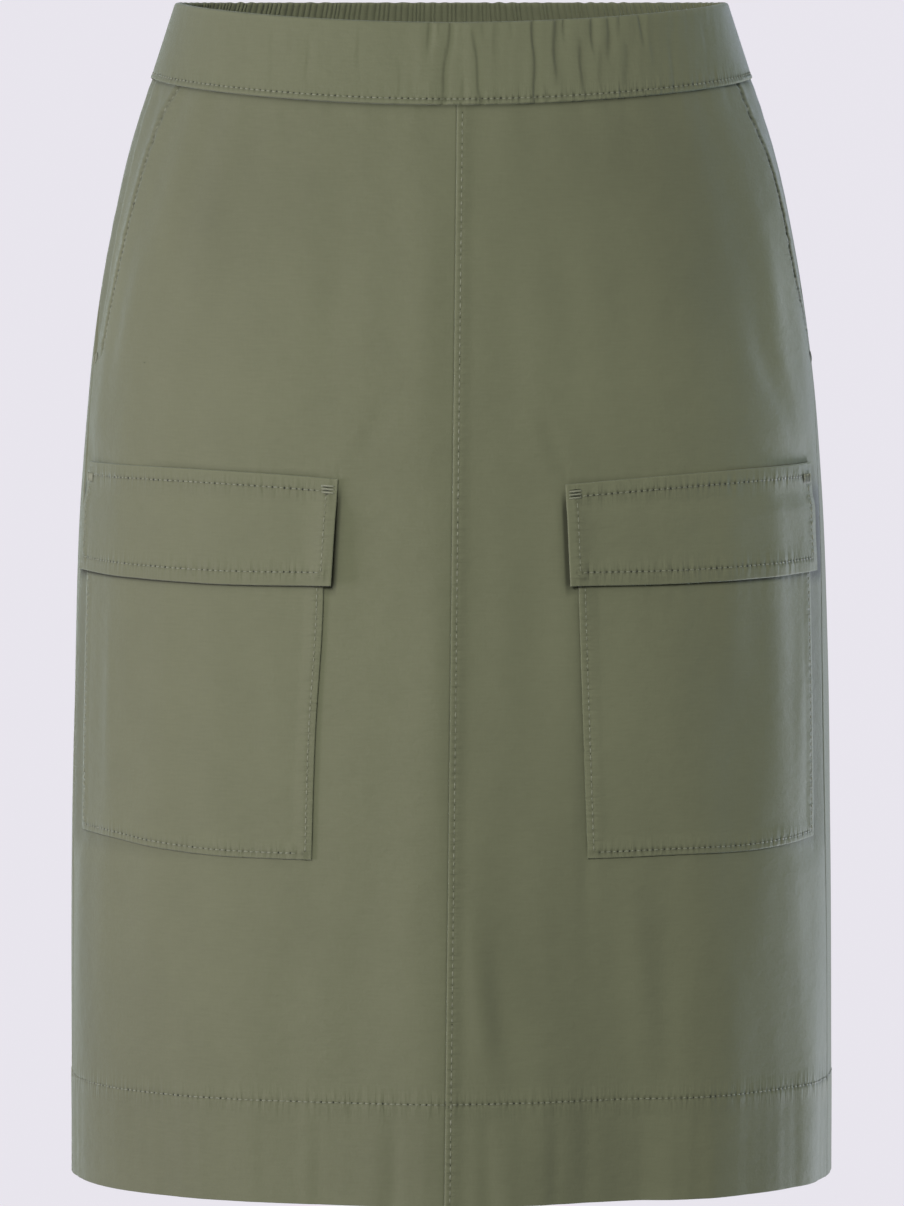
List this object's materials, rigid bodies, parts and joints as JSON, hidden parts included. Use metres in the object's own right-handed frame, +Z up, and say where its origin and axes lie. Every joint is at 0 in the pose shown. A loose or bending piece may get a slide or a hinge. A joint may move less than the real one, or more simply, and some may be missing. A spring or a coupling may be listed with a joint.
{
  "type": "cargo utility skirt",
  "caption": "Knee-length pull-on cotton skirt, smooth front waistband, elasticated back, slanted hip pockets and flapped cargo pockets, worn open form.",
  "frame": {"origin": "middle of the waist, at the level of the waistband's top edge, where the wearer holds the skirt up", "axes": "+Z up, the front faces -Y, +X to the right of someone who looks at the front"},
  "size_m": [0.381, 0.2951, 0.583],
  "materials": {
    "shell": "matt olive cotton twill",
    "waistband": "matt olive cotton twill",
    "pocket": "matt olive cotton twill",
    "flap": "matt olive cotton twill",
    "facing": "matt olive cotton twill",
    "thread": "polyester sewing thread"
  },
  "bodies": {
    "root": {"waistband_front": "waistband", "waistband_back": "waistband", "front_panel_left": "shell", "front_panel_right": "shell", "back_panel": "shell", "hip_facing_left": "facing", "hip_facing_right": "facing", "cargo_pocket_left": "pocket", "cargo_pocket_right": "pocket", "pocket_flap_left": "flap", "pocket_flap_right": "flap"}
  },
  "joints": []
}
